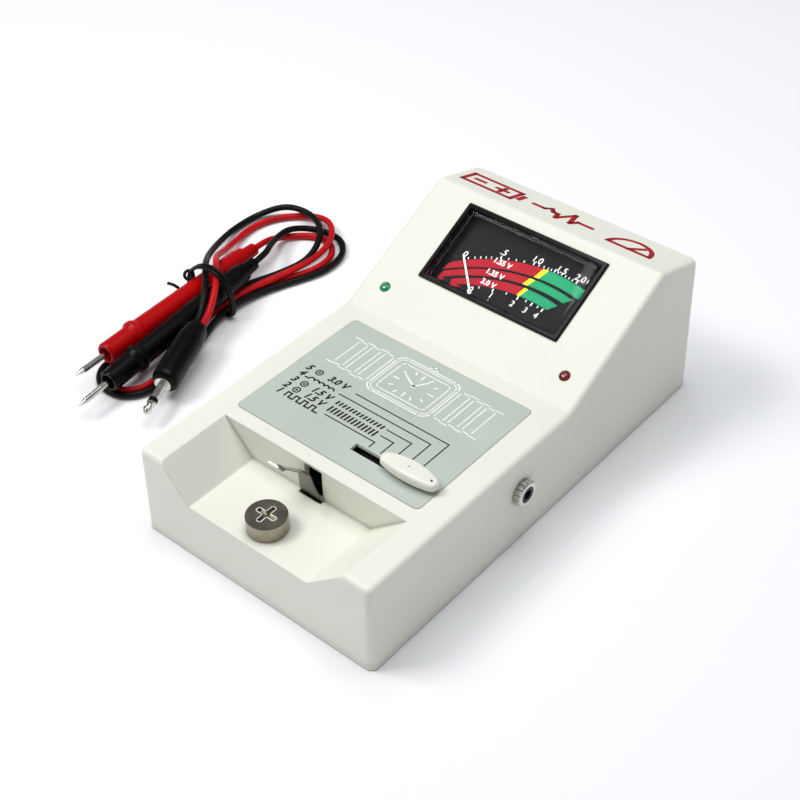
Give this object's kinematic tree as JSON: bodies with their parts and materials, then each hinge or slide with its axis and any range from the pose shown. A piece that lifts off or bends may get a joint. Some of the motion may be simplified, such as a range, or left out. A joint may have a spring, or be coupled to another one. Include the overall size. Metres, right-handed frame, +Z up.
{
  "type": "watch cell tester",
  "caption": "Bench tester for watch cells: off-white case with sloped analogue meter, slide selector, cell tray with post and spring finger, jack, and red and black test leads.",
  "frame": {"origin": "middle of the case's underside, on the surface it stands on", "axes": "+X to the user's right, +Y from the user to the back, +Z up"},
  "size_m": [0.203, 0.178, 0.0615],
  "materials": {
    "case": "satin",
    "label": "satin",
    "knob": "gloss",
    "black_plastic": "gloss",
    "lens": "gloss",
    "dial": "matte",
    "pointer": "matte",
    "steel": "satin",
    "nickel": "gloss",
    "brass": "satin",
    "copper": "satin",
    "iron": "matte",
    "green_lamp": "gloss",
    "red_lamp": "gloss",
    "board": "satin",
    "resistor": "satin",
    "capacitor": "satin",
    "battery": "satin",
    "red_plastic": "gloss",
    "red_sheath": "satin",
    "black_sheath": "satin"
  },
  "bodies": {
    "case": {"arm_bracket": "nickel", "base_plate": "case", "battery_9v": "battery", "battery_snap": "black_plastic", "black_cord": "black_sheath", "black_probe_handle": "black_plastic", "black_probe_pin": "nickel", "black_wires": "black_sheath", "board_screws": "steel", "bracket_screw": "steel", "capacitors": "capacitor", "case_screws": "steel", "circuit_board": "board", "coil_bobbin": "black_plastic", "contact_post": "nickel", "green_led": "green_lamp", "green_led_clip": "black_plastic", "integrated_circuits": "black_plastic", "jack_body": "black_plastic", "jack_nut": "nickel", "jewel_screws": "brass", "label_plate": "label", "lower_bridge": "brass", "meter_dial": "dial", "meter_frame": "black_plastic", "meter_housing": "black_plastic", "meter_lens": "lens", "meter_magnet": "iron", "meter_screws": "steel", "meter_terminals": "brass", "meter_yoke": "iron", "pickup_coil": "copper", "pickup_core": "iron", "plug_barrel": "black_plastic", "plug_insulator": "black_plastic", "plug_sleeve": "nickel", "plug_tip": "nickel", "post_nut": "nickel", "red_cord": "red_sheath", "red_led": "red_lamp", "red_led_clip": "black_plastic", "red_probe_handle": "red_plastic", "red_probe_pin": "nickel", "red_wires": "red_sheath", "resistors": "resistor", "slide_switch": "steel", "terminal_nuts": "brass", "trimmers": "black_plastic", "twist_tie": "black_sheath", "upper_bridge": "brass", "upper_case": "case"},
    "selector": {"selector_knob": "knob", "selector_slider": "black_plastic"},
    "contact_arm": {"contact_arm": "nickel"},
    "battery_door": {"battery_door": "case"},
    "meter_movement": {"meter_pointer": "pointer", "moving_coil": "copper", "meter_staff": "steel", "hairspring": "brass"}
  },
  "joints": [
    {"name": "selector_slide", "type": "slide", "parent": "case", "child": "selector", "axis": [1, 0, 0], "range_m": [-0.0194, 0]},
    {"name": "arm_flex", "type": "hinge", "parent": "case", "child": "contact_arm", "pos_m": [-0.0006, -0.06317, 0.03514], "axis": [1, 0, 0], "range_deg": [0, 60], "stiffness_Nm_per_rad": 0.05},
    {"name": "door_slide", "type": "slide", "parent": "case", "child": "battery_door", "axis": [0, 1, 0], "range_m": [0, 0.032]},
    {"name": "pointer_swing", "type": "hinge", "parent": "case", "child": "meter_movement", "pos_m": [0.006, 0.02149, 0.03061], "axis": [0, 0.4554, -0.8903], "range_deg": [0, 65], "stiffness_Nm_per_rad": 0.0002}
  ]
}
